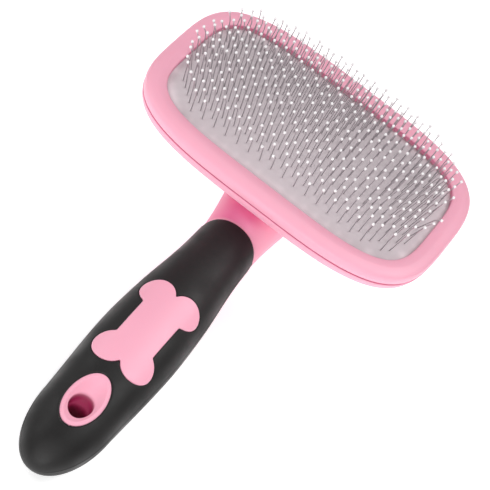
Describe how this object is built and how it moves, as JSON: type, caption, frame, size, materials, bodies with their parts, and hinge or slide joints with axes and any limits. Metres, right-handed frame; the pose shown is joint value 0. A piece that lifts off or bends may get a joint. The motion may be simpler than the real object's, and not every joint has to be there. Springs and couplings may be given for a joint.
{
  "type": "slicker brush",
  "caption": "Pet grooming slicker brush: kneed wire pins on a cushioned pad in a wide rounded head, with a soft-grip handle and hanging hole.",
  "frame": {"origin": "centre of the footprint of the whole brush, at the lowest point of the handle's underside", "axes": "+Y from the handle's butt to the head, +Z the way the pins point, +X across the handle along the head's long side"},
  "size_m": [0.11, 0.174, 0.0655],
  "materials": {
    "pink_plastic": "moulded ABS, satin",
    "black_grip_rubber": "overmoulded thermoplastic rubber, fine matte grain",
    "grey_pad_rubber": "soft matte rubber",
    "backing_cloth": "woven cotton",
    "cushion_foam": "open-cell foam",
    "steel_pin_wire": "drawn stainless wire"
  },
  "bodies": {
    "handle_and_head": {"front_bezel": "pink_plastic", "back_shell": "pink_plastic", "grip_sleeve": "black_grip_rubber", "bone_inlay": "pink_plastic", "hang_eyelet": "pink_plastic", "foam_cushion": "cushion_foam"},
    "pad": {"pad_face": "grey_pad_rubber", "pad_backing": "backing_cloth", "pin_row_01": "steel_pin_wire", "pin_row_02": "steel_pin_wire", "pin_row_03": "steel_pin_wire", "pin_row_04": "steel_pin_wire", "pin_row_05": "steel_pin_wire", "pin_row_06": "steel_pin_wire", "pin_row_07": "steel_pin_wire", "pin_row_08": "steel_pin_wire", "pin_row_09": "steel_pin_wire", "pin_row_10": "steel_pin_wire", "pin_row_11": "steel_pin_wire", "pin_row_12": "steel_pin_wire", "pin_row_13": "steel_pin_wire", "pin_row_14": "steel_pin_wire", "pin_row_15": "steel_pin_wire", "pin_row_16": "steel_pin_wire", "pin_row_17": "steel_pin_wire", "pin_row_18": "steel_pin_wire", "pin_row_19": "steel_pin_wire", "pin_row_20": "steel_pin_wire", "pin_row_21": "steel_pin_wire", "pin_row_22": "steel_pin_wire"}
  },
  "joints": [
    {"name": "pad_press", "type": "slide", "parent": "handle_and_head", "child": "pad", "axis": [0, 0, -1], "range_m": [0, 0.002], "stiffness_N_per_m": 2500, "deforming": ["foam_cushion"]}
  ]
}
